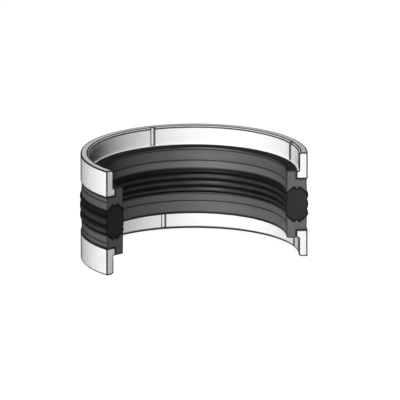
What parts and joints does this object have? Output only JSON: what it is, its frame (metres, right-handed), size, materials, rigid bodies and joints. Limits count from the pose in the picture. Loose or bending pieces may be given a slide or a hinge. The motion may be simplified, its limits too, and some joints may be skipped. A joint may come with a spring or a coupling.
{
  "type": "piston seal set",
  "caption": "Cut-away double-acting piston seal set: a ribbed rubber ring keyed between grey back-up rings, with white L-section guide rings that centre a piston in its bore.",
  "frame": {"origin": "centre of the cut-away set's footprint (its bounding box in X and Y), on the plane of the lower guide ring's end face. The ring axis is the line x = 0, y = -7.19 mm, and the mid-plane of the seal is z = 18.9 mm.", "axes": "+Z along the ring axis, from the lower to the upper guide ring. +X towards the cut face that lies in the plane through the ring axis. The removed wedge is on the -Y side."},
  "size_m": [0.0804, 0.0662, 0.0378],
  "materials": {
    "guide_pom": "turned off-white acetal with a soft satin sheen",
    "backup_polyester": "dark grey moulded polyester elastomer, satin",
    "seal_rubber": "black nitrile rubber, matt with a faint moulded sheen"
  },
  "bodies": {
    "lower_guide": {"guide_ring_lower": "guide_pom"},
    "lower_backup": {"backup_ring_lower": "backup_polyester"},
    "seal": {"seal_element": "seal_rubber"},
    "upper_backup": {"backup_ring_upper": "backup_polyester"},
    "upper_guide": {"guide_ring_upper": "guide_pom"}
  },
  "joints": [
    {"name": "lower_backup_lift", "type": "slide", "parent": "lower_guide", "child": "lower_backup", "axis": [0, 0, 1], "range_m": [0, 0.012]},
    {"name": "seal_lift", "type": "slide", "parent": "lower_backup", "child": "seal", "axis": [0, 0, 1], "range_m": [0, 0.012]},
    {"name": "upper_backup_lift", "type": "slide", "parent": "seal", "child": "upper_backup", "axis": [0, 0, 1], "range_m": [0, 0.012]},
    {"name": "upper_guide_lift", "type": "slide", "parent": "upper_backup", "child": "upper_guide", "axis": [0, 0, 1], "range_m": [0, 0.012]}
  ]
}
